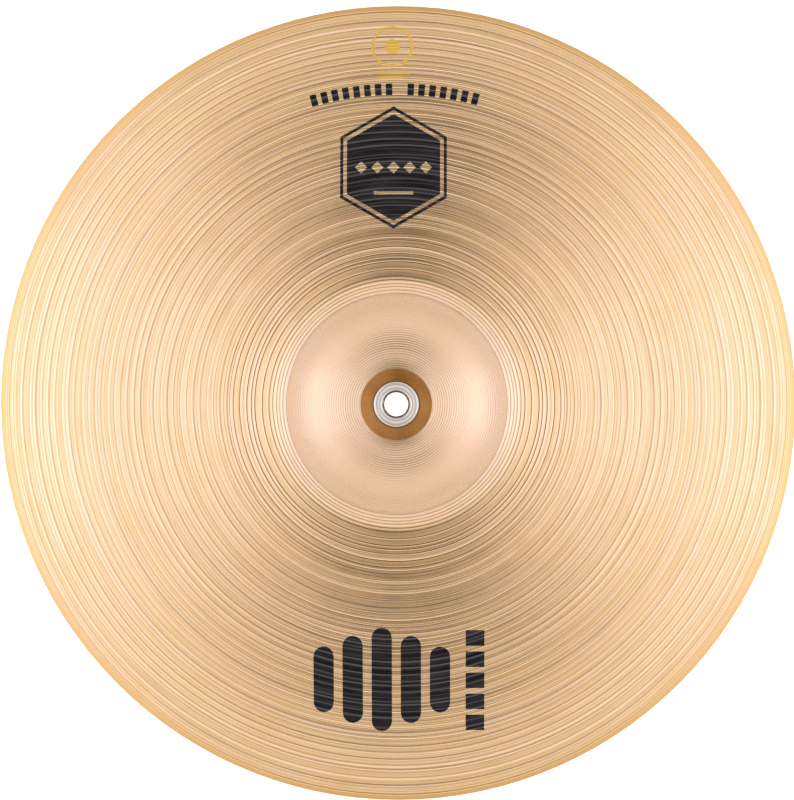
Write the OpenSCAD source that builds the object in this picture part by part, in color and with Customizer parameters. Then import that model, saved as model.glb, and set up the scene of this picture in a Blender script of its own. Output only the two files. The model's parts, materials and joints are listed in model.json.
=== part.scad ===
// Hand cymbal for marching: one lathed bronze disc with a rolled grommet in its strap hole.
// It stands on its rim, with the bell up. The origin is on the axis, in the plane of the rim's foot.
// Every section is turned about Z, so each outline holds [radius, height] points in millimetres.

/* [Disc] */
// Outside diameter
disc_d = 406.4; // [300:0.1:560]
// Height that the bow climbs from the rim to the bell's root
bow_rise = 19; // [8:0.5:34]
// Sheet thickness at the rim
rim_t = 1.0; // [0.7:0.05:1.6]
// Sheet thickness over the bell
bell_t = 1.4; // [1:0.05:2.5]
// Width of the flat foot ground on the rim's lower edge
foot_w = 0.8; // [0.4:0.1:2]
// Bevel on the rim's upper edge
rim_bevel = 0.2; // [0.1:0.05:0.35]

/* [Bell] */
// Diameter at the bell's root, where the bow starts
bell_root_d = 132; // [100:1:170]
// Height of the bell above its root
bell_rise = 21; // [14:0.5:27]
// Radius of the hollow blend between the bell and the bow
root_blend_r = 18; // [8:0.5:24]
// Width of the raw flat left bare round the grommet, where the lathe's clamp sat
raw_flat_w = 6.4; // [3:0.1:12]

/* [Lathe cut] */
// Depth that the lathe takes off the raw skin next to the clamp flat
skim_h = 0.12; // [0.05:0.01:0.2]
// Distance between tone grooves on the bow
bow_pitch = 3.4; // [2:0.1:8]
// Width of a tone groove on the bow
bow_groove_w = 1.3; // [0.6:0.1:1.6]
// Depth of a tone groove on the bow
bow_groove_h = 0.09; // [0.03:0.01:0.15]
// Distance between the fine grooves on the bell
bell_pitch = 1.2; // [0.8:0.1:3]
// Depth of the fine grooves on the bell
bell_groove_h = 0.05; // [0.02:0.01:0.1]
// Width of the plain band left at the rim
rim_band_w = 2.4; // [1.5:0.1:6]

/* [Grommet] */
// Clear hole for the strap
strap_hole_d = 11.9; // [8:0.1:16]
// Thickness of the grommet's metal
grommet_t = 0.45; // [0.3:0.05:0.55]
// Play between the barrel and the hole in the bronze
barrel_play = 0.1; // [0.05:0.05:0.3]
// Play between the barrel and the washer's hole
washer_play = 0.25; // [0.05:0.05:0.4]
// Outer radius of the lip's roll, from the hole up and over onto the washer
lip_roll_r = 1.0; // [0.75:0.05:1.4]
// Width of the lip's level top
lip_top_w = 0.25; // [0.1:0.05:0.8]
// Width of the washer's level ledge, between the lip and the bead
ledge_w = 1.6; // [0.2:0.1:4]
// Outer radius of the bead round the washer's edge
bead_r = 0.8; // [0.65:0.05:1.2]
// Outer radius of the flange's rolls, at the hole and at its edge
flange_roll_r = 1.0; // [0.75:0.05:1.4]

/* [Hidden] */

turn_fn = 180;       // sides that stand for a full turn in a preview
curl_fn = 64;        // the same for a curl of the grommet's metal

rim_r = disc_d / 2;
root_r = bell_root_d / 2;
hole_r = strap_hole_d / 2;
barrel_r = hole_r + grommet_t;
bored_r = barrel_r + barrel_play;
lip_r = hole_r + 2 * lip_roll_r + lip_top_w;
flange_r = lip_r + ledge_w + 2 * bead_r;
clamp_r = flange_r + raw_flat_w;

// Bow: a parabola whose slope grows in proportion to the radius.
bow_k = 2 * bow_rise / (rim_r * rim_r - root_r * root_r);
foot_in_r = rim_r - foot_w;
rim_slope = atan(bow_k * rim_r);
foot_from_r = foot_in_r + rim_t * sin(rim_slope);
rim_z = rim_t * cos(rim_slope) - bow_k / 2 * (rim_r * rim_r - foot_from_r * foot_from_r);
root_z = rim_z + bow_rise;

// Bell: a convex arc off the clamp flat, then a hollow arc onto the bow, both tangent.
root_slope = atan(bow_k * root_r);
bell_run = root_r - clamp_r + root_blend_r * sin(root_slope);
bell_drop = bell_rise + root_blend_r * (1 - cos(root_slope));
bell_slope = 2 * atan(bell_drop / bell_run);
dome_r = bell_run / sin(bell_slope) - root_blend_r;
dome_end_r = clamp_r + dome_r * sin(bell_slope);
blend_mid_r = root_r + root_blend_r * sin(root_slope);
blend_mid_z = root_z + root_blend_r * cos(root_slope);
crown_z = root_z + bell_rise;
under_z = crown_z - bell_t;

// Height and slope of the raw upper skin at radius r.
function skin_z(r) =
    r <= clamp_r ? crown_z
    : r <= dome_end_r ? crown_z - dome_r + sqrt(pow(dome_r, 2) - pow(r - clamp_r, 2))
    : r <= root_r ? blend_mid_z - sqrt(pow(root_blend_r, 2) - pow(blend_mid_r - r, 2))
    : rim_z + bow_k / 2 * (rim_r * rim_r - r * r);
function skin_slope(r) =
    r <= clamp_r ? 0
    : r <= dome_end_r ? asin((r - clamp_r) / dome_r)
    : r <= root_r ? asin((blend_mid_r - r) / root_blend_r)
    : atan(bow_k * r);
// The point at a depth under the raw skin, measured square to it.
function below(r, depth) = [r - depth * sin(skin_slope(r)), skin_z(r) - depth * cos(skin_slope(r))];
function sheet_t(r) = r <= root_r ? bell_t : bell_t + (rim_t - bell_t) * (r - root_r) / (rim_r - root_r);

// Groove outlines as [radius, depth of cut] pairs.
bell_steps = 2 * floor((root_r - clamp_r) / bell_pitch);
bell_cut = [for (i = [0 : bell_steps])
    [clamp_r + i * (root_r - clamp_r) / bell_steps, i % 2 == 0 ? 0 : bell_groove_h]];
bow_count = floor((rim_r - rim_band_w - root_r) / bow_pitch);
bow_cut = [for (i = [0 : bow_count - 1], s = [-1 : 1])
    [root_r + (i + 0.5) * bow_pitch + s * bow_groove_w / 2, s == 0 ? bow_groove_h : 0]];
lathe_cut = concat(bell_cut, bow_cut);
last = len(lathe_cut) - 1;

// A quarter turn of metal, grommet_t thick, in the quadrant that starts at the angle turn.
module curl(outer, turn) {
    rotate(turn) intersection() {
        difference() {
            circle(r = outer, $fn = curl_fn);
            circle(r = outer - grommet_t, $fn = curl_fn);
        }
        square(2 * outer);
    }
}

module cymbal_outline() {
    upper = [for (c = lathe_cut) below(c[0], skim_h + c[1])];
    lower = [for (i = [last : -1 : 0]) below(lathe_cut[i][0], sheet_t(lathe_cut[i][0]) - lathe_cut[i][1])];
    rim_top = below(rim_r, skim_h)[1];
    polygon(concat(
        [[bored_r, crown_z], [clamp_r, crown_z]],
        upper,
        [below(rim_r - rim_bevel, skim_h), [rim_r, rim_top - rim_bevel], [rim_r, 0], [foot_in_r, 0]],
        lower,
        [[bored_r, under_z]]
    ));
}

// The lathed disc: raw clamp flat, bell, bow and rim in one piece of bronze.
module cymbal() {
    color([0.86, 0.66, 0.42])
        rotate_extrude($fn = turn_fn) cymbal_outline();
}

// The eyelet: a flange under the bell, a barrel through the bronze and a lip rolled onto the washer.
module grommet_eyelet() {
    washer_top = crown_z + grommet_t;
    lip_top = washer_top + lip_roll_r;
    flange_bottom = under_z - flange_roll_r;
    roll_in_r = hole_r + flange_roll_r;
    roll_out_r = flange_r - flange_roll_r;
    color([0.78, 0.78, 0.8])
        rotate_extrude($fn = turn_fn) union() {
            translate([hole_r, under_z]) square([grommet_t, washer_top - under_z]);
            // rolled lip
            translate([hole_r + lip_roll_r, washer_top]) curl(lip_roll_r, 90);
            translate([hole_r + lip_roll_r, lip_top - grommet_t]) square([lip_top_w, grommet_t]);
            translate([lip_r - lip_roll_r, washer_top]) curl(lip_roll_r, 0);
            // flange
            translate([roll_in_r, under_z]) curl(flange_roll_r, 180);
            translate([roll_in_r, flange_bottom]) square([roll_out_r - roll_in_r, grommet_t]);
            translate([roll_out_r, under_z]) curl(flange_roll_r, 270);
        }
}

// The washer on the raw flat: a level ring under the lip, with a hollow bead round its edge.
module grommet_washer() {
    ring_in_r = barrel_r + washer_play;
    bead_in_r = flange_r - 2 * bead_r;
    color([0.78, 0.78, 0.8])
        rotate_extrude($fn = turn_fn) union() {
            translate([ring_in_r, crown_z]) square([bead_in_r + grommet_t - ring_in_r, grommet_t]);
            translate([bead_in_r + bead_r, crown_z]) curl(bead_r, 90);
            translate([bead_in_r + bead_r, crown_z]) curl(bead_r, 0);
        }
}

cymbal();
grommet_eyelet();
grommet_washer();
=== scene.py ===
import json
import math
import random

import bpy
from mathutils import Matrix, Vector

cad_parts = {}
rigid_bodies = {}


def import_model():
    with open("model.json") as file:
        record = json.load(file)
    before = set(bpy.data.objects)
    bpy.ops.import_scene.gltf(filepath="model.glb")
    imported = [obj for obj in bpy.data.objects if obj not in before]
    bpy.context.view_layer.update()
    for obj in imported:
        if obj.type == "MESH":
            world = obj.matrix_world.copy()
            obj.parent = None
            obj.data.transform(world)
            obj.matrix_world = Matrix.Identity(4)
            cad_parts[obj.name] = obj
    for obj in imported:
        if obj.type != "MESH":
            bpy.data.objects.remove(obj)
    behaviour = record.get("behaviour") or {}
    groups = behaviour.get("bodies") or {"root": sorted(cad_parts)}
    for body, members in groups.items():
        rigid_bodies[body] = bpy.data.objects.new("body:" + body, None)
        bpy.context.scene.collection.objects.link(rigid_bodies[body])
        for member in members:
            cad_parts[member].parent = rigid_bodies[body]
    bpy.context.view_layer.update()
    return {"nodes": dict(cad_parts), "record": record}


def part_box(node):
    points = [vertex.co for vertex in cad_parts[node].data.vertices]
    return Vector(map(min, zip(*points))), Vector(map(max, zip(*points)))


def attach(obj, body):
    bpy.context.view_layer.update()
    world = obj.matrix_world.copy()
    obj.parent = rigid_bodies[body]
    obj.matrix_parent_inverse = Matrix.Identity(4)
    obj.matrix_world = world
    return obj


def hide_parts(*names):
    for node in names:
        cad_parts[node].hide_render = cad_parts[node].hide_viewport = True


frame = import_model()

mm = 0.001
fullTurn = 2 * math.pi
upright = (0, 0, 1)
print("frame loaded:", ", ".join(sorted(frame["nodes"])))


def restart():
    if bpy.context.mode != "OBJECT":
        bpy.ops.object.mode_set(mode="OBJECT")
    bpy.ops.object.select_all(action="DESELECT")


def pick(piece):
    restart()
    piece.select_set(True)
    bpy.context.view_layer.objects.active = piece


def editAll(piece):
    pick(piece)
    bpy.ops.object.mode_set(mode="EDIT")
    bpy.ops.mesh.select_all(action="SELECT")


def clearDefaults():
    restart()
    for thing in list(bpy.data.objects):
        if thing.name in ("Cube", "Light", "Camera"):
            thing.select_set(True)
    bpy.ops.object.delete()


def finishPiece(piece, material, replaces=()):
    piece.data.materials.clear()
    piece.data.materials.append(material)
    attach(piece, "root")
    if replaces:
        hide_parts(*replaces)


# Turns a closed outline of (radius, height, mark) rows about the upright axis, as a lathe does.
# The mark goes into the mesh as the attribute cut, which the materials read: in the bronze, marks above
# zero darken the cuts with oxide and painted shade, and marks below zero paint a highlight.
def turnOnLathe(name, outline, steps, creaseAngle):
    restart()
    first = outline[0]
    bpy.ops.mesh.primitive_plane_add(size=mm, location=(first[0], 0, first[1]))
    piece = bpy.context.object
    piece.name = name
    bpy.ops.object.mode_set(mode="EDIT")
    bpy.ops.mesh.select_all(action="SELECT")
    bpy.ops.mesh.merge(type="CENTER")
    for here, there in zip(outline, outline[1:] + outline[:1]):
        move = (there[0] - here[0], 0, there[1] - here[1])
        bpy.ops.mesh.extrude_region_move(TRANSFORM_OT_translate={"value": move})
    bpy.ops.mesh.select_all(action="SELECT")
    bpy.ops.mesh.remove_doubles(threshold=0.002 * mm)
    bpy.ops.object.mode_set(mode="OBJECT")
    cut = piece.data.attributes.new("cut", "FLOAT", "POINT")
    for row, value in zip(outline, cut.data):
        value.value = row[2]
    editAll(piece)
    bpy.ops.mesh.spin(steps=steps, angle=fullTurn, center=(0, 0, 0), axis=upright)
    bpy.ops.mesh.select_all(action="SELECT")
    bpy.ops.mesh.remove_doubles(threshold=0.002 * mm)
    bpy.ops.mesh.normals_make_consistent(inside=False)
    pick(piece)
    bpy.ops.object.transform_apply(location=True, rotation=True, scale=True)
    bpy.ops.object.shade_smooth_by_angle(angle=creaseAngle)
    print(name, "turned:", len(outline), "points,", len(piece.data.polygons), "faces")
    return piece


camera = {
    "distance": 1.6,            # above the rim's plane
    "leanX": 0.024,             # how far it stands off the disc's axis
    "leanY": 0.016,
    "discShare": 0.9925,        # the disc's width as a share of the picture's long side
    "shiftX": -0.0006,
    "shiftY": 0.0044,
    "sensor": 36.0,
}


def placeCamera():
    low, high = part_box("cymbal")
    bpy.ops.object.camera_add(location=(camera["leanX"], camera["leanY"], camera["distance"]))
    cam = bpy.context.object
    cam.name = "mainCamera"
    cam.rotation_euler = (-math.atan(camera["leanY"] / camera["distance"]),
                          math.atan(camera["leanX"] / camera["distance"]), 0)
    cam.data.sensor_width = camera["sensor"]
    cam.data.lens = camera["discShare"] * camera["sensor"] * camera["distance"] / (high.x - low.x)
    cam.data.shift_x = camera["shiftX"]
    cam.data.shift_y = camera["shiftY"]
    cam.data.clip_end = 30
    bpy.context.scene.camera = cam


floor = {"size": 12.0, "tone": 0.86, "glow": 0.5, "paperRadius": 0.022}


# The floor lets the camera look up through it, so the underside can be seen from below.
def paleMaterial(name, tone, glow):
    material = bpy.data.materials.new(name)
    material.use_nodes = True
    tree = material.node_tree
    shader = tree.nodes["Principled BSDF"]
    shader.inputs["Base Color"].default_value = (tone, tone, tone, 1)
    shader.inputs["Roughness"].default_value = 0.9
    shader.inputs["Specular IOR Level"].default_value = 0.1
    shader.inputs["Emission Color"].default_value = (1, 1, 1, 1)
    shader.inputs["Emission Strength"].default_value = glow
    side = tree.nodes.new("ShaderNodeNewGeometry")
    clear = tree.nodes.new("ShaderNodeBsdfTransparent")
    mix = tree.nodes.new("ShaderNodeMixShader")
    tree.links.new(side.outputs["Backfacing"], mix.inputs[0])
    tree.links.new(shader.outputs[0], mix.inputs[1])
    tree.links.new(clear.outputs[0], mix.inputs[2])
    tree.links.new(mix.outputs[0], tree.nodes["Material Output"].inputs["Surface"])
    return material


def layFloor():
    restart()
    bpy.ops.mesh.primitive_plane_add(size=floor["size"], location=(0, 0, -0.02 * mm))
    ground = bpy.context.object
    ground.name = "floor"
    ground.data.materials.append(paleMaterial("paleFloor", floor["tone"], floor["glow"]))
    bpy.ops.mesh.primitive_circle_add(
        radius=floor["paperRadius"], vertices=48, fill_type="NGON", location=(0, 0, 0.3 * mm))
    paper = bpy.context.object
    paper.name = "whitePaper"   # what shows through the strap hole
    paper.visible_glossy = False
    paper.visible_diffuse = False
    paper.data.materials.append(paleMaterial("whitePaper", 1.0, 1.0))


def put(tree, kind, **settings):
    node = tree.nodes.new(kind)
    for name, value in settings.items():
        setattr(node, name, value)
    return node


# A Math or Mix input is a number, a colour or another node's output.
def feed(tree, socket, value):
    if isinstance(value, bpy.types.NodeSocket):
        tree.links.new(value, socket)
    else:
        socket.default_value = value


def calc(tree, operation, *values, clamp=False):
    node = put(tree, "ShaderNodeMath", operation=operation, use_clamp=clamp)
    for socket, value in zip(node.inputs, values):
        feed(tree, socket, value)
    return node.outputs[0]


def blendColours(tree, share, under, over):
    node = put(tree, "ShaderNodeMix", data_type="RGBA")
    feed(tree, node.inputs["Factor"], share)
    feed(tree, node.inputs[6], under)
    feed(tree, node.inputs[7], over)
    return node.outputs[2]


def stretch(tree, value, low, high, toLow=0.0, toHigh=1.0):
    node = put(tree, "ShaderNodeMapRange")
    for socket, number in zip(node.inputs, (value, low, high, toLow, toHigh)):
        feed(tree, socket, number)
    return node.outputs[0]


def newGroup(name, inputs, outputs):
    group = bpy.data.node_groups.new(name, "ShaderNodeTree")
    for label, kind, start in inputs:
        socket = group.interface.new_socket(label, in_out="INPUT", socket_type=kind)
        socket.default_value = start
    for label, kind in outputs:
        group.interface.new_socket(label, in_out="OUTPUT", socket_type=kind)
    return group, put(group, "NodeGroupInput"), put(group, "NodeGroupOutput")


light = {
    "sideDistance": 1.4,
    "sideHeight": 1.1,
    "sideSize": 1.2,
    "sidePower": 1.5,
    "room": 1.16,
    "sideGlow": 0.24,           # added where the room lies to the left or right
    "lowGlow": 0.08,            # more of it, low on both sides
    "horizon": 0.6,             # share of the light that is left low down, all round
    "backdrop": 1.3,            # the room itself, as the camera sees it
    "plainWhite": (1, 1, 1, 1),
    "coolWhite": (0.98, 1.0, 1.18, 1),  # at the sides
    "warmWhite": (1.0, 0.93, 0.78, 1),  # in the strips
    "barStep": 0.25,            # the strips are rows of lamps that run from left to right
    "barDepth": 0.7,
    "dimBehind": 1.18,          # taken away in the strip overhead, towards the back
    "dimInFront": 1.08,
}


def softBox(name, place, size, power):
    bpy.ops.object.light_add(type="AREA", location=place)
    box = bpy.context.object
    box.name = name
    box.data.shape = "SQUARE"
    box.data.size = size
    box.data.energy = power
    box.rotation_euler = (-Vector(place)).to_track_quat("-Z", "Y").to_euler()
    box.visible_camera = False


# A pale room, brighter at the sides, with a dimmer strip overhead towards the front and the back.
def paintRoom(tree):
    sky = tree.nodes["Background"]
    facing = put(tree, "ShaderNodeSeparateXYZ")
    tree.links.new(put(tree, "ShaderNodeTexCoord").outputs["Generated"], facing.inputs[0])
    seen = put(tree, "ShaderNodeLightPath").outputs["Is Camera Ray"]
    sideways = calc(tree, "ABSOLUTE", facing.outputs["X"])
    endways = calc(tree, "ABSOLUTE", facing.outputs["Y"])
    offZenith = calc(tree, "SUBTRACT", 1.0, calc(tree, "POWER", facing.outputs["Z"], 2.0))
    offZenith = calc(tree, "POWER", offZenith, 0.5)
    # how far round to the left or right, whatever the height
    toSide = calc(tree, "DIVIDE", sideways, calc(tree, "ADD", offZenith, 0.03))
    toSide = stretch(tree, toSide, 0.55, 1.0)
    glow = calc(tree, "MULTIPLY", toSide, light["sideGlow"])
    lowGlow = calc(tree, "MULTIPLY", stretch(tree, sideways, 0.4, 0.95), light["lowGlow"])
    # the strip starts beside the zenith, ends partway down and is as narrow as a row of lamps
    bars = calc(tree, "SINE", calc(tree, "MULTIPLY", endways, fullTurn / light["barStep"]))
    bars = stretch(tree, bars, -1, 1, light["barDepth"], 1)
    strip = calc(tree, "MULTIPLY", stretch(tree, endways, 0.36, 0.6, 1, 0), bars)
    strip = calc(tree, "MULTIPLY", stretch(tree, endways, 0.05, 0.2), strip)
    strip = calc(tree, "MULTIPLY", strip, stretch(tree, sideways, 0.02, 0.34, 1, 0))
    dim = stretch(tree, facing.outputs["Y"], -0.05, 0.05, light["dimInFront"], light["dimBehind"])
    level = calc(tree, "SUBTRACT", calc(tree, "ADD", glow, lowGlow), calc(tree, "MULTIPLY", strip, dim))
    level = calc(tree, "ADD", light["room"], level)
    fall = stretch(tree, facing.outputs["Z"], 0.05, 0.4, light["horizon"], 1)
    level = calc(tree, "MULTIPLY", level, fall)
    level = calc(tree, "MAXIMUM", level, calc(tree, "MULTIPLY", seen, light["backdrop"]))
    tree.links.new(level, sky.inputs["Strength"])
    colour = blendColours(tree, toSide, light["plainWhite"], light["coolWhite"])
    colour = blendColours(tree, strip, colour, light["warmWhite"])
    tree.links.new(blendColours(tree, seen, colour, light["plainWhite"]), sky.inputs["Color"])


def lightRoom():
    for side in (-1, 1):
        softBox("sideBox", (side * light["sideDistance"], 0, light["sideHeight"]),
                light["sideSize"], light["sidePower"])
    world = bpy.data.worlds.new("paleRoom")
    world.use_nodes = True
    paintRoom(world.node_tree)
    bpy.context.scene.world = world
    bpy.context.scene.view_settings.view_transform = "Standard"
    print("room lit")


# Marks that run round the axis: fine rings, arcs that fade along their length, and broad hammered patches.
def makeTurningMarks():
    group, given, out = newGroup(
        "turningMarks",
        [("Rings per metre", "NodeSocketFloat", 900.0), ("Arc length", "NodeSocketFloat", 5.0),
         ("Patch size", "NodeSocketFloat", 45.0)],
        [("Radius", "NodeSocketFloat"), ("Rings", "NodeSocketFloat"), ("Arcs", "NodeSocketFloat"),
         ("Patches", "NodeSocketFloat")])
    where = put(group, "ShaderNodeTexCoord")
    flat = put(group, "ShaderNodeVectorMath", operation="MULTIPLY")
    flat.inputs[1].default_value = (1, 1, 0)
    group.links.new(where.outputs["Object"], flat.inputs[0])
    length = put(group, "ShaderNodeVectorMath", operation="LENGTH")
    group.links.new(flat.outputs[0], length.inputs[0])
    radius = length.outputs["Value"]
    ringPlace = calc(group, "MULTIPLY", radius, given.outputs["Rings per metre"])
    rings = put(group, "ShaderNodeTexNoise", noise_dimensions="1D")
    rings.inputs["Scale"].default_value = 1.0
    rings.inputs["Detail"].default_value = 3.0
    group.links.new(ringPlace, rings.inputs["W"])
    facing = put(group, "ShaderNodeVectorMath", operation="NORMALIZE")
    group.links.new(flat.outputs[0], facing.inputs[0])
    spread = put(group, "ShaderNodeVectorMath", operation="SCALE")
    group.links.new(facing.outputs[0], spread.inputs[0])
    group.links.new(given.outputs["Arc length"], spread.inputs["Scale"])
    rise = put(group, "ShaderNodeCombineXYZ")
    group.links.new(calc(group, "MULTIPLY", ringPlace, 0.5), rise.inputs["Z"])
    polar = put(group, "ShaderNodeVectorMath", operation="ADD")
    group.links.new(spread.outputs[0], polar.inputs[0])
    group.links.new(rise.outputs[0], polar.inputs[1])
    arcs = put(group, "ShaderNodeTexNoise")
    arcs.inputs["Scale"].default_value = 1.0
    arcs.inputs["Detail"].default_value = 2.0
    group.links.new(polar.outputs[0], arcs.inputs["Vector"])
    patches = put(group, "ShaderNodeTexNoise")
    patches.inputs["Detail"].default_value = 1.5
    group.links.new(where.outputs["Object"], patches.inputs["Vector"])
    group.links.new(given.outputs["Patch size"], patches.inputs["Scale"])
    group.links.new(radius, out.inputs["Radius"])
    group.links.new(rings.outputs["Fac"], out.inputs["Rings"])
    group.links.new(arcs.outputs["Fac"], out.inputs["Arcs"])
    group.links.new(patches.outputs["Fac"], out.inputs["Patches"])
    return group


def placeGroup(tree, group, values={}):
    node = put(tree, "ShaderNodeGroup", node_tree=group)
    for label, value in values.items():
        node.inputs[label].default_value = value
    return node


def startMaterial(name, constants):
    material = bpy.data.materials.new(name)
    material.use_nodes = True
    tree = material.node_tree
    shader = tree.nodes["Principled BSDF"]
    for label, value in constants.items():
        shader.inputs[label].default_value = value
    return material, tree, shader


def bumpInto(tree, shader, height, strength, distance):
    bump = put(tree, "ShaderNodeBump")
    bump.inputs["Strength"].default_value = strength
    bump.inputs["Distance"].default_value = distance
    tree.links.new(height, bump.inputs["Height"])
    tree.links.new(bump.outputs["Normal"], shader.inputs["Normal"])


disc = {
    "boreRadius": 6.5 * mm,
    "flatRadius": 17.8 * mm,    # raw skin, where the lathe's clamp sat
    "rootRadius": 66 * mm,
    "bellRise": 21 * mm,
    "bowRise": 19 * mm,
    "blendRadius": 18 * mm,
    "bellThickness": 1.4 * mm,
    "rimThickness": 1.0 * mm,
    "skim": 0.12 * mm,
    "footWidth": 0.8 * mm,
    "rimBevel": 0.2 * mm,
    "rimBand": 2.4 * mm,
    "steps": 120,
    "crease": math.radians(4.0),
}
discLow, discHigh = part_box("cymbal")
rimRadius = discHigh.x
crown = discHigh.z
rootHeight = crown - disc["bellRise"]
rimHeight = rootHeight - disc["bowRise"]
bowCurve = 2 * disc["bowRise"] / (rimRadius ** 2 - disc["rootRadius"] ** 2)
rootSlope = math.atan(bowCurve * disc["rootRadius"])
bellRun = disc["rootRadius"] - disc["flatRadius"] + disc["blendRadius"] * math.sin(rootSlope)
bellDrop = disc["bellRise"] + disc["blendRadius"] * (1 - math.cos(rootSlope))
bellSlope = 2 * math.atan(bellDrop / bellRun)
domeRadius = bellRun / math.sin(bellSlope) - disc["blendRadius"]
domeEnd = disc["flatRadius"] + domeRadius * math.sin(bellSlope)
blendMidR = disc["rootRadius"] + disc["blendRadius"] * math.sin(rootSlope)
blendMidZ = rootHeight + disc["blendRadius"] * math.cos(rootSlope)


# Height and slope of the upper skin at a radius.
def skin(r):
    if r <= disc["flatRadius"]:
        return crown, 0.0
    if r <= domeEnd:
        along = r - disc["flatRadius"]
        return crown - domeRadius + math.sqrt(domeRadius ** 2 - along ** 2), math.asin(along / domeRadius)
    if r <= disc["rootRadius"]:
        along = blendMidR - r
        height = blendMidZ - math.sqrt(disc["blendRadius"] ** 2 - along ** 2)
        return height, math.asin(along / disc["blendRadius"])
    return rimHeight + bowCurve / 2 * (rimRadius ** 2 - r ** 2), math.atan(bowCurve * r)


def below(r, depth, mark=0.0):
    height, slope = skin(r)
    return (r - depth * math.sin(slope), height - depth * math.cos(slope), mark)


def sheetThickness(r):
    share = max(0, (r - disc["rootRadius"]) / (rimRadius - disc["rootRadius"]))
    return disc["bellThickness"] + share * (disc["rimThickness"] - disc["bellThickness"])


bellCut = {
    "pitch": 1.17 * mm,
    "depth": 0.085 * mm,
    "fadeTo": 0.4,              # share of the depth that is left at the last groove
    "stop": 55.5 * mm,
    "mark": 0.6,
}
shoulderCut = {
    "pitch": 1.5 * mm,
    "growth": 1.07,             # each groove is this much further on than the last
    "width": 0.4,               # width and depth as shares of the pitch
    "depth": 0.05,
    "clear": 1.2 * mm,          # left free before the first deep line
}
bowCut = {
    "pitch": 3.4 * mm,
    "width": 1.15 * mm,
    "depth": 0.13 * mm,
    "burr": 0.045 * mm,
    "crestHighlight": 0.95 * mm,         # how far the raised edge beside a groove, with its painted highlight, reaches
    "bottom": 0.3,              # the level bottom, as a share of the groove's width
    "fineWidth": 0.6 * mm,
    "fineDepth": 0.06 * mm,
    "deepLines": (68.3 * mm, 72.1 * mm, 73.9 * mm, 76.2 * mm),  # cut hard where the bow starts
    "deepWidth": 0.9 * mm,
    "deepDepth": 0.15 * mm,
}


# One groove: its bottom leans to one side, and the metal is raised along one edge, where the materials
# paint a highlight.
def groove(centre, width, depth, lean, mark):
    burr = -bowCut["burr"] * mark
    reach = bowCut["crestHighlight"] * mark
    edgeIn, edgeOut = centre - width / 2, centre + width / 2
    lowest = centre + width * (lean - 0.5)
    bottom = [(lowest + side * bowCut["bottom"] * width, depth, mark) for side in (-0.5, 0.5)]
    if lean < 0.5:
        return [(edgeIn, 0.0, 0.0)] + bottom + [(edgeOut, burr, -mark), (edgeOut + reach, 0.0, 0.0)]
    return [(edgeIn - reach, 0.0, 0.0), (edgeIn, burr, -mark)] + bottom + [(edgeOut, 0.0, 0.0)]


# Every cut from the raw flat to the rim, as (radius, depth, mark) rows.
def latheCuts(dice, fineToo):
    cuts = []
    # bell: fine even grooves that fade outwards
    count = round((bellCut["stop"] - disc["flatRadius"]) / bellCut["pitch"])
    for i in range(count):
        share = i / count
        depth = bellCut["depth"] * (1 + share * (bellCut["fadeTo"] - 1)) * dice.uniform(0.8, 1.2)
        start = disc["flatRadius"] + i * bellCut["pitch"]
        mark = bellCut["mark"] * (1 - 0.75 * share)
        cuts += [(start, 0.0, -mark), (start + bellCut["pitch"] / 2, depth, mark)]
    # shoulder: the pitch widens towards the bow
    r = disc["flatRadius"] + count * bellCut["pitch"]
    pitch = shoulderCut["pitch"]
    while r + pitch < bowCut["deepLines"][0] - shoulderCut["clear"]:
        cuts += groove(r + pitch / 2, shoulderCut["width"] * pitch, shoulderCut["depth"] * pitch,
                       dice.uniform(0.3, 0.7), dice.uniform(0.7, 1.0))
        r += pitch
        pitch *= shoulderCut["growth"]
    for line in bowCut["deepLines"]:
        cuts += groove(line, bowCut["deepWidth"], bowCut["deepDepth"], 0.35, 1.0)
    # bow: tone grooves with finer ones between
    r = bowCut["deepLines"][-1] + bowCut["pitch"]
    last = rimRadius - disc["rimBand"] - 0.6 * bowCut["pitch"]
    while r < last:
        force = dice.uniform(0.55, 1.1)
        between = r - bowCut["pitch"] / 2 + dice.uniform(-0.15, 0.15) * mm
        if fineToo:
            cuts += groove(between, bowCut["fineWidth"] * dice.uniform(0.7, 1.3),
                           bowCut["fineDepth"] * dice.uniform(0.4, 1.4), dice.uniform(0.25, 0.75),
                           dice.uniform(0.3, 0.75))
        cuts += groove(r + dice.uniform(-0.12, 0.12) * mm, bowCut["width"] * dice.uniform(0.75, 1.15),
                       bowCut["depth"] * force, dice.uniform(0.25, 0.75), min(1, force))
        r += bowCut["pitch"]
    # rim: one raised line with a painted highlight inside the plain band
    line = rimRadius - disc["rimBand"] - 0.3 * mm
    cuts += [(line - 0.5 * mm, 0.0, 0.0), (line, -bowCut["burr"], -0.9), (line + 0.4 * mm, 0.0, 0.0)]
    return cuts


def cymbalOutline():
    upper = [below(r, disc["skim"] + depth, mark) for r, depth, mark in latheCuts(random.Random(16), True)]
    under = latheCuts(random.Random(21), False)
    lower = [below(r, sheetThickness(r) - depth, mark) for r, depth, mark in reversed(under)]
    edgeTop = below(rimRadius, disc["skim"])[1] - disc["rimBevel"]
    rim = [
        below(rimRadius - 0.6 * mm, disc["skim"]),
        below(rimRadius - disc["rimBevel"], disc["skim"], 0.7),
        (rimRadius, edgeTop, 0.7),
        (rimRadius, discLow.z, 0.0),
        (rimRadius - disc["footWidth"], discLow.z, 0.0),
        below(rimRadius - disc["rimBand"], sheetThickness(rimRadius)),
    ]
    flat = disc["flatRadius"]
    raw = [(disc["boreRadius"], crown, 0.0), (flat - 0.7 * mm, crown, 0.0), (flat, crown, 0.9)]
    bored = [(disc["boreRadius"], crown - disc["bellThickness"], 0.0)]
    return raw + upper + rim + lower + bored


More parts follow.
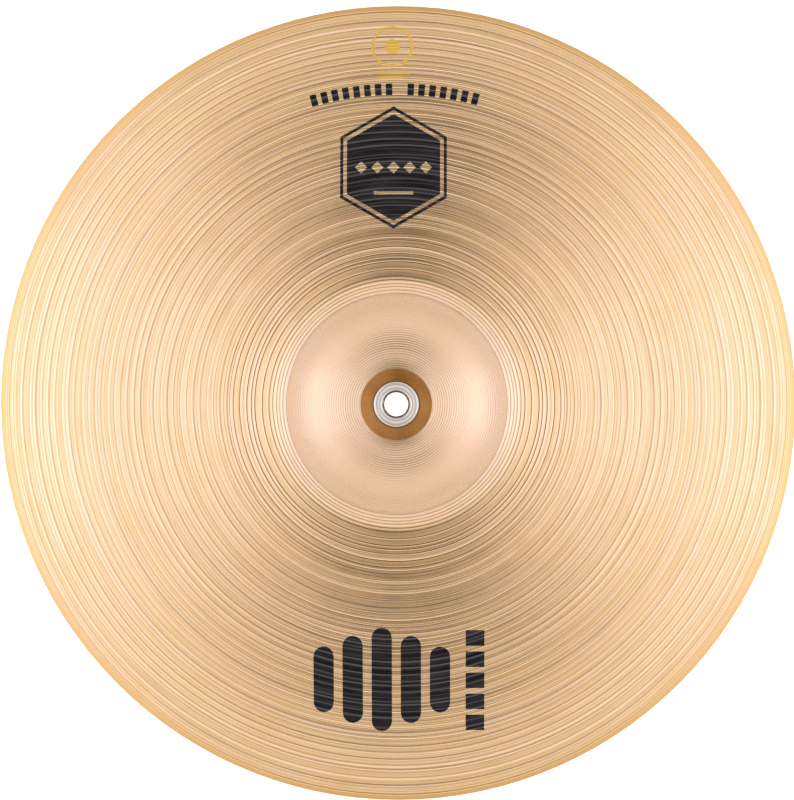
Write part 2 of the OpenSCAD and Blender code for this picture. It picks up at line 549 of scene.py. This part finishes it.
bronze = {
    "land": (0.87, 0.575, 0.36, 1),
    "gold": (0.82, 0.53, 0.25, 1),
    "olive": (0.66, 0.44, 0.21, 1),
    # painted highlight for the raised edges of the cuts
    "crestHighlight": (1.0, 0.83, 0.67, 1),
    # cut bottoms: partly oxide, partly painted shade; also the painted shadow round the washer
    "groove": (0.13, 0.05, 0.013, 1),
    "bell": (0.735, 0.495, 0.315, 1),
    "rim": (0.76, 0.46, 0.19, 1),
    "raw": (0.46, 0.22, 0.065, 1),
    "rawDark": (0.25, 0.105, 0.025, 1),
    "grain": 900,               # speckle of the raw flat, per metre
    "washerShadowTo": 12.2 * mm,       # how far the painted shadow reaches out from the washer's edge
    "darkTo": 96 * mm,          # the cuts' oxide and painted shade are darkest inside this radius
    "paleFrom": 115 * mm,       # and palest towards the rim
    "goldRim": 5.5 * mm,        # width of the golden band at the edge
    "roughness": 0.18,
}


def bronzeMaterial(marks):
    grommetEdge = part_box("grommet_washer")[1].x
    material, tree, shader = startMaterial(
        "lathedBronze", {"Metallic": 1.0, "Anisotropic": 0.4, "Anisotropic Rotation": 0.25})
    turning = placeGroup(tree, marks)
    radius = turning.outputs["Radius"]
    rings, arcs, patches = (turning.outputs[n] for n in ("Rings", "Arcs", "Patches"))
    cut = put(tree, "ShaderNodeAttribute", attribute_name="cut").outputs["Fac"]
    onBow = stretch(tree, radius, disc["rootRadius"] - 8 * mm, disc["rootRadius"])
    # lands: two bronzes in fine rings, mottled where the hammer fell and streaked along the cut
    colour = blendColours(tree, stretch(tree, rings, 0.42, 0.62), bronze["land"], bronze["gold"])
    colour = blendColours(tree, onBow, bronze["bell"], colour)
    mottle = calc(tree, "MULTIPLY", stretch(tree, patches, 0.5, 0.68, 0, 0.45), onBow)
    colour = blendColours(tree, mottle, colour, bronze["gold"])
    streaks = calc(tree, "MULTIPLY", stretch(tree, arcs, 0.5, 0.72, 0, 0.6), onBow)
    colour = blendColours(tree, streaks, colour, bronze["olive"])
    onRim = stretch(tree, radius, rimRadius - bronze["goldRim"], rimRadius - 0.6 * bronze["goldRim"])
    colour = blendColours(tree, onRim, colour, bronze["rim"])
    # painted highlight along the raised edges of the cuts
    colour = blendColours(tree, stretch(tree, cut, -0.03, -0.9, 0, 0.4), colour, bronze["crestHighlight"])
    # raw flat round the grommet, stained, with a painted shadow along the washer's edge
    onRaw = stretch(tree, radius, disc["flatRadius"] + 0.04 * mm, disc["flatRadius"])
    grain = put(tree, "ShaderNodeTexNoise")
    grain.inputs["Scale"].default_value = bronze["grain"]
    grain.inputs["Detail"].default_value = 4
    where = put(tree, "ShaderNodeTexCoord")
    tree.links.new(where.outputs["Object"], grain.inputs["Vector"])
    stain = calc(tree, "ADD", patches, calc(tree, "MULTIPLY", grain.outputs["Fac"], 0.25))
    raw = blendColours(tree, stretch(tree, stain, 0.45, 0.8), bronze["rawDark"], bronze["raw"])
    # painted shadow round the washer's edge
    washerShadow = stretch(tree, radius, bronze["washerShadowTo"], grommetEdge, 0, 0.8)
    raw = blendColours(tree, washerShadow, raw, bronze["groove"])
    colour = blendColours(tree, onRaw, colour, raw)
    # bottoms of the cuts: darkened, partly oxide in the grooves and partly painted shade
    nearRoot = stretch(tree, radius, bronze["darkTo"] - 18 * mm, bronze["darkTo"], 0.4, 0)
    oxideAndShade = calc(tree, "MULTIPLY", onBow, nearRoot)
    oxideAndShade = calc(tree, "ADD", oxideAndShade, stretch(tree, arcs, 0.3, 0.65, 0.55, 0.3))
    oxideAndShade = calc(tree, "MULTIPLY", oxideAndShade, stretch(tree, radius, bronze["paleFrom"], 185 * mm, 1, 0.6))
    oxideAndShade = calc(tree, "MULTIPLY", stretch(tree, cut, 0.1, 0.75), oxideAndShade)
    colour = blendColours(tree, oxideAndShade, colour, bronze["groove"])
    tree.links.new(colour, shader.inputs["Base Color"])
    # the bell and the raw flat are duller than the bow
    worn = stretch(tree, patches, 0.3, 0.7, bronze["roughness"] - 0.02, bronze["roughness"] + 0.03)
    worn = calc(tree, "ADD", worn, calc(tree, "MULTIPLY", calc(tree, "SUBTRACT", 1.0, onBow), 0.07))
    worn = calc(tree, "ADD", worn, calc(tree, "MULTIPLY", onRaw, 0.3))
    tree.links.new(worn, shader.inputs["Roughness"])
    tangent = put(tree, "ShaderNodeTangent", direction_type="RADIAL", axis="Z")
    tree.links.new(tangent.outputs[0], shader.inputs["Tangent"])
    height = calc(tree, "ADD", rings, calc(tree, "MULTIPLY", arcs, 0.3))
    bumpInto(tree, shader, height, 0.45, 0.02 * mm)
    return material


def makeCymbal(marks):
    piece = turnOnLathe("cymbalDisc", cymbalOutline(), disc["steps"], disc["crease"])
    finishPiece(piece, bronzeMaterial(marks), ["cymbal"])
    return piece


grommet = {
    "metal": 0.45 * mm,
    "rollRadius": 1.0 * mm,
    "lipTop": 0.25 * mm,
    "beadRadius": 0.8 * mm,
    "washerGap": 0.25 * mm,
    "arcPoints": 9,
    "steps": 112,
    "crease": math.radians(30),
}


# An arc of the outline between two angles in degrees.
def arc(midR, midZ, radius, start, end, count):
    turns = [math.radians(start + (end - start) * i / (count - 1)) for i in range(count)]
    return [(midR + radius * math.cos(a), midZ + radius * math.sin(a), 0.0) for a in turns]


def strapHoleRadius():
    hole = next(m for m in frame["record"]["mounts"] if m["name"] == "strap_hole")
    return hole["dims"]["r_mm"] * mm


# The eyelet from the lip's outside over the hole and down to the flange, and back along its inside.
def eyeletOutline():
    low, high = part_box("grommet_eyelet")
    hole = strapHoleRadius()
    roll, metal, n = grommet["rollRadius"], grommet["metal"], grommet["arcPoints"]
    inner = roll - metal
    lipMid, flangeMid = high.z - roll, low.z + roll
    leadR = hole + roll
    curlR = leadR + grommet["lipTop"]
    edgeR = high.x - roll
    return (
        arc(leadR, lipMid, roll, 180, 90, n) + arc(curlR, lipMid, roll, 90, 0, n)
        + arc(curlR, lipMid, inner, 0, 90, n) + arc(leadR, lipMid, inner, 90, 180, n)
        + arc(leadR, flangeMid, inner, 180, 270, n) + arc(edgeR, flangeMid, inner, 270, 360, n)
        + arc(edgeR, flangeMid, roll, 360, 270, n) + arc(leadR, flangeMid, roll, 270, 180, n)
    )


def washerOutline():
    low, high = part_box("grommet_washer")
    bead, metal, n = grommet["beadRadius"], grommet["metal"], grommet["arcPoints"]
    ringIn = strapHoleRadius() + metal + grommet["washerGap"]
    beadMid = high.x - bead
    top = low.z + metal
    rise = math.degrees(math.asin(metal / bead))
    return (
        [(ringIn, low.z, 0.0), (ringIn, top, 0.0)] + arc(beadMid, low.z, bead, 180 - rise, 0, 2 * n)
        + arc(beadMid, low.z, bead - metal, 0, 180, 2 * n)
    )


nickel = {
    "bright": (0.68, 0.62, 0.545, 1),
    "dullAndShade": (0.50, 0.465, 0.43, 1),
    "throatShade": (0.10, 0.082, 0.07, 1),
    "seamShade": (0.27, 0.25, 0.24, 1),
    "roughness": 0.16,
    # radius where each tone stands, from the hole outwards; the dark stops are painted shade down the
    # hole, at the seams and on the bead's inner slope
    "paintedRings": (("throatShade", 6.7 * mm), ("bright", 7.2 * mm), ("bright", 7.9 * mm), ("seamShade", 8.2 * mm),
              ("bright", 8.5 * mm), ("bright", 9.3 * mm), ("dullAndShade", 9.7 * mm), ("dullAndShade", 10.1 * mm),
              ("bright", 10.6 * mm), ("bright", 11.1 * mm), ("seamShade", 11.4 * mm)),
}


def nickelMaterial(marks):
    material, tree, shader = startMaterial("nickelPlate", {"Metallic": 1.0})
    turning = placeGroup(tree, marks, {"Rings per metre": 1500.0, "Arc length": 3.0, "Patch size": 160.0})
    radius = turning.outputs["Radius"]
    rings, arcs, patches = (turning.outputs[n] for n in ("Rings", "Arcs", "Patches"))
    start, end = nickel["paintedRings"][0][1], nickel["paintedRings"][-1][1]
    # painted shade in rings by radius, over the plain nickel
    ramp = put(tree, "ShaderNodeValToRGB")
    stops = ramp.color_ramp.elements
    stops[0].color = nickel[nickel["paintedRings"][0][0]]
    stops[1].color = nickel[nickel["paintedRings"][-1][0]]
    for tone, reach in nickel["paintedRings"][1:-1]:
        stops.new((reach - start) / (end - start)).color = nickel[tone]
    tree.links.new(stretch(tree, radius, start, end), ramp.inputs[0])
    # dull streaks, in the same colour as the painted half shade on the bead's inner slope
    dull = stretch(tree, arcs, 0.45, 0.75, 0, 0.5)
    colour = blendColours(tree, dull, ramp.outputs[0], nickel["dullAndShade"])
    tree.links.new(colour, shader.inputs["Base Color"])
    worn = stretch(tree, patches, 0.3, 0.7, nickel["roughness"] - 0.04, nickel["roughness"] + 0.08)
    tree.links.new(worn, shader.inputs["Roughness"])
    bumpInto(tree, shader, rings, 0.15, 0.01 * mm)
    return material


def makeGrommet(marks):
    finish = nickelMaterial(marks)
    for name, outline in (("eyelet", eyeletOutline()), ("washer", washerOutline())):
        piece = turnOnLathe(name + "Ring", outline, grommet["steps"], grommet["crease"])
        finishPiece(piece, finish, ["grommet_" + name])


ink = {
    "lift": 0.03 * mm,          # top of the ink over the bronze
    "film": 0.02 * mm,
    "black": (0.005, 0.0035, 0.004, 1),
    "grey": (0.022, 0.018, 0.019, 1),
    "sheen": (0.11, 0.10, 0.10, 1),     # painted sheen along a groove's raised edge
    "stamp": (0.86, 0.54, 0.12, 1),
    "stampDark": (0.60, 0.34, 0.07, 1),
}


# A regular outline round a centre, as corners that run counterclockwise.
def ringOfCorners(middle, radius, count, turn=0.0):
    angles = [turn + fullTurn * i / count for i in range(count)]
    return [(middle[0] + radius * math.cos(a), middle[1] + radius * math.sin(a)) for a in angles]


def boxOfCorners(middle, width, height, turn=0.0):
    corners = ((-1, -1), (1, -1), (1, 1), (-1, 1))
    spin = Matrix.Rotation(turn, 2)
    spun = [spin @ Vector((x * width / 2, y * height / 2)) for x, y in corners]
    return [(middle[0] + corner.x, middle[1] + corner.y) for corner in spun]


# An upright bar with round ends.
def pillOfCorners(middle, width, height, count=9):
    end = middle[1] + height / 2 - width / 2
    turns = [math.pi * i / (count - 1) for i in range(count)]
    top = [(middle[0] + width / 2 * math.cos(a), end + width / 2 * math.sin(a)) for a in turns]
    return top + [(2 * middle[0] - x, 2 * middle[1] - y) for x, y in top]


def pickFaces(piece, wanted):
    pick(piece)
    bpy.ops.object.mode_set(mode="EDIT")
    bpy.ops.mesh.select_mode(type="FACE")
    bpy.ops.mesh.select_all(action="DESELECT")
    bpy.ops.object.mode_set(mode="OBJECT")
    for face in piece.data.polygons:
        face.select = wanted(face)
    bpy.ops.object.mode_set(mode="EDIT")


# Copies the lathed skin round a mark, so that the ink lies in the same grooves.
def peelSkin(skinOf, shapes):
    corners = [corner for shape in shapes for corner in shape]
    reach = 4 * mm
    lowX, highX = min(c[0] for c in corners) - reach, max(c[0] for c in corners) + reach
    lowY, highY = min(c[1] for c in corners) - reach, max(c[1] for c in corners) + reach
    pickFaces(skinOf, lambda face: face.normal.z > 0.5 and lowX < face.center.x < highX
              and lowY < face.center.y < highY)
    bpy.ops.mesh.duplicate()
    bpy.ops.mesh.separate(type="SELECTED")
    bpy.ops.object.mode_set(mode="OBJECT")
    peeled = next(thing for thing in bpy.context.selected_objects if thing != skinOf)
    pick(peeled)
    return peeled


def edgePlanes(corners):
    for here, there in zip(corners, corners[1:] + corners[:1]):
        outward = Vector((there[1] - here[1], here[0] - there[0], 0)).normalized()
        yield (here[0], here[1], 0), outward


def trimTo(piece, corners):
    for place, outward in edgePlanes(corners):
        editAll(piece)
        bpy.ops.mesh.bisect(plane_co=place, plane_no=outward, clear_outer=True)
    bpy.ops.object.mode_set(mode="OBJECT")


# Leaves an outline bare: the film is scored along its sides, and the faces inside come off.
def punch(piece, corners):
    planes = list(edgePlanes(corners))

    def near(face):
        spots = [piece.data.vertices[v].co for v in face.vertices]
        return all(min((s - Vector(p)).dot(n) for s in spots) < 0.01 * mm for p, n in planes)

    def inside(face):
        return all((face.center - Vector(p)).dot(n) < 0 for p, n in planes)

    for place, outward in planes:
        pickFaces(piece, near)
        bpy.ops.mesh.bisect(plane_co=place, plane_no=outward)
    pickFaces(piece, inside)
    bpy.ops.mesh.delete(type="FACE")
    bpy.ops.object.mode_set(mode="OBJECT")


def layFilm(piece, name, material):
    pick(piece)
    piece.name = name
    editAll(piece)
    bpy.ops.transform.translate(value=(0, 0, ink["lift"]))
    bpy.ops.object.mode_set(mode="OBJECT")
    film = piece.modifiers.new("film", "SOLIDIFY")
    film.thickness = ink["film"]
    film.offset = -1
    bpy.ops.object.modifier_apply(modifier="film")
    bpy.ops.object.shade_smooth_by_angle(angle=disc["crease"])
    finishPiece(piece, material)
    print(name, "laid:", len(piece.data.polygons), "faces")


def printShapes(skinOf, name, shapes, material, holes=()):
    peeled = peelSkin(skinOf, shapes)
    films = []
    for corners in shapes:
        pick(peeled)
        bpy.ops.object.duplicate()
        films.append(bpy.context.object)
        trimTo(films[-1], corners)
    pick(peeled)
    bpy.ops.object.delete()
    for film in films:
        film.select_set(True)
    bpy.context.view_layer.objects.active = films[0]
    if len(films) > 1:
        bpy.ops.object.join()
    for corners in holes:
        punch(films[0], corners)
    layFilm(films[0], name, material)


def inkMaterial(marks):
    material, tree, shader = startMaterial("blackInk", {"Specular IOR Level": 0.12})
    turning = placeGroup(tree, marks)
    rings, arcs, patches = (turning.outputs[n] for n in ("Rings", "Arcs", "Patches"))
    cut = put(tree, "ShaderNodeAttribute", attribute_name="cut").outputs["Fac"]
    colour = blendColours(tree, stretch(tree, arcs, 0.4, 0.7), ink["black"], ink["grey"])
    # painted sheen on the raised edges of the cuts
    colour = blendColours(tree, stretch(tree, cut, -0.1, -0.9, 0, 0.8), colour, ink["sheen"])
    tree.links.new(colour, shader.inputs["Base Color"])
    tree.links.new(stretch(tree, patches, 0.3, 0.7, 0.24, 0.36), shader.inputs["Roughness"])
    bumpInto(tree, shader, rings, 0.35, 0.02 * mm)
    return material


def stampMaterial(marks):
    material, tree, shader = startMaterial("laserStamp", {"Metallic": 1.0})
    turning = placeGroup(tree, marks, {"Rings per metre": 1600.0})
    rings, patches = (turning.outputs[n] for n in ("Rings", "Patches"))
    colour = blendColours(tree, stretch(tree, rings, 0.35, 0.65), ink["stamp"], ink["stampDark"])
    tree.links.new(colour, shader.inputs["Base Color"])
    tree.links.new(stretch(tree, patches, 0.3, 0.7, 0.4, 0.5), shader.inputs["Roughness"])
    bumpInto(tree, shader, rings, 0.3, 0.01 * mm)
    return material


emblem = {
    "middle": (-1.8 * mm, 119.9 * mm),
    "radius": 31.2 * mm,
    "lineFrom": 29.4 * mm,      # a bare line runs inside the edge, between these two radii
    "lineTo": 27.3 * mm,
    "diamonds": 5,
    "diamondStep": 8.2 * mm,
    "diamondReach": 3.1 * mm,
    "barDrop": 13 * mm,
    "barSize": (20 * mm, 1.7 * mm),
}


# A hexagon with a bare line inside its edge, a bare row of diamonds and a bare bar.
def emblemHoles():
    middle = emblem["middle"]
    outer = ringOfCorners(middle, emblem["lineFrom"], 6, math.pi / 2)
    inner = ringOfCorners(middle, emblem["lineTo"], 6, math.pi / 2)
    sides = [(outer[i], outer[(i + 1) % 6], inner[(i + 1) % 6], inner[i]) for i in range(6)]
    first = middle[0] - (emblem["diamonds"] - 1) / 2 * emblem["diamondStep"]
    row = [ringOfCorners((first + i * emblem["diamondStep"], middle[1]), emblem["diamondReach"], 4)
           for i in range(emblem["diamonds"])]
    bar = boxOfCorners((middle[0], middle[1] - emblem["barDrop"]), *emblem["barSize"])
    return [list(side) for side in sides] + row + [bar]


tickRow = {
    "radius": 160 * mm,
    "middle": math.radians(90.5),
    "step": math.radians(1.98),
    "width": 3.3 * mm,
    "height": 5.9 * mm,
    "places": 16,
    "gap": 8,                   # the place that stays bare
}


def tickShapes():
    half = (tickRow["places"] - 1) / 2
    for i in range(tickRow["places"]):
        if i == tickRow["gap"]:
            continue
        angle = tickRow["middle"] + (half - i) * tickRow["step"]
        middle = (tickRow["radius"] * math.cos(angle), tickRow["radius"] * math.sin(angle))
        yield boxOfCorners(middle, tickRow["width"], tickRow["height"], angle - math.pi / 2)


barMark = {
    "middle": (-7.8 * mm, -140.3 * mm),
    "width": 10.3 * mm,
    "step": 14.8 * mm,
    "heights": (34 * mm, 45 * mm, 53.5 * mm, 45 * mm, 34 * mm),
}
squareColumn = {
    "middle": (39.6 * mm, -140.7 * mm),
    "count": 5,
    "step": 10.9 * mm,
    "width": 9.5 * mm,
    "height": 8 * mm,
}


def barShapes():
    x, y = barMark["middle"]
    for i, height in enumerate(barMark["heights"]):
        yield pillOfCorners((x + (i - 2) * barMark["step"], y), barMark["width"], height)


def squareShapes():
    x, y = squareColumn["middle"]
    for i in range(squareColumn["count"]):
        middle = (x, y + (i - 2) * squareColumn["step"])
        yield boxOfCorners(middle, squareColumn["width"], squareColumn["height"])


stampMark = {
    "middle": (-2.6 * mm, 182 * mm),
    "outer": 11 * mm,
    "inner": 9.6 * mm,
    "spot": 4 * mm,
    "corners": 12,
    "bars": (18 * mm, 12 * mm),
    "barHeight": 1.2 * mm,
    "barDrop": 13.6 * mm,
    "barStep": 2.4 * mm,
}


# A ring round a spot, with two bars under it.
def stampShapes():
    middle = stampMark["middle"]
    outer = ringOfCorners(middle, stampMark["outer"], stampMark["corners"])
    inner = ringOfCorners(middle, stampMark["inner"], stampMark["corners"])
    for i in range(stampMark["corners"]):
        j = (i + 1) % stampMark["corners"]
        yield [inner[i], outer[i], outer[j], inner[j]]
    yield ringOfCorners(middle, stampMark["spot"], stampMark["corners"])
    for i, width in enumerate(stampMark["bars"]):
        drop = stampMark["barDrop"] + i * stampMark["barStep"]
        yield boxOfCorners((middle[0], middle[1] - drop), width, stampMark["barHeight"])


def printMarks(skinOf, marks):
    black = inkMaterial(marks)
    whole = ringOfCorners(emblem["middle"], emblem["radius"], 6, math.pi / 2)
    printShapes(skinOf, "inkEmblem", [whole], black, emblemHoles())
    printShapes(skinOf, "inkTicks", list(tickShapes()), black)
    printShapes(skinOf, "inkBars", list(barShapes()), black)
    printShapes(skinOf, "inkColumn", list(squareShapes()), black)
    printShapes(skinOf, "goldStamp", list(stampShapes()), stampMaterial(marks))


clearDefaults()
placeCamera()
layFloor()
lightRoom()
turningMarks = makeTurningMarks()
cymbal = makeCymbal(turningMarks)
makeGrommet(turningMarks)
printMarks(cymbal, turningMarks)
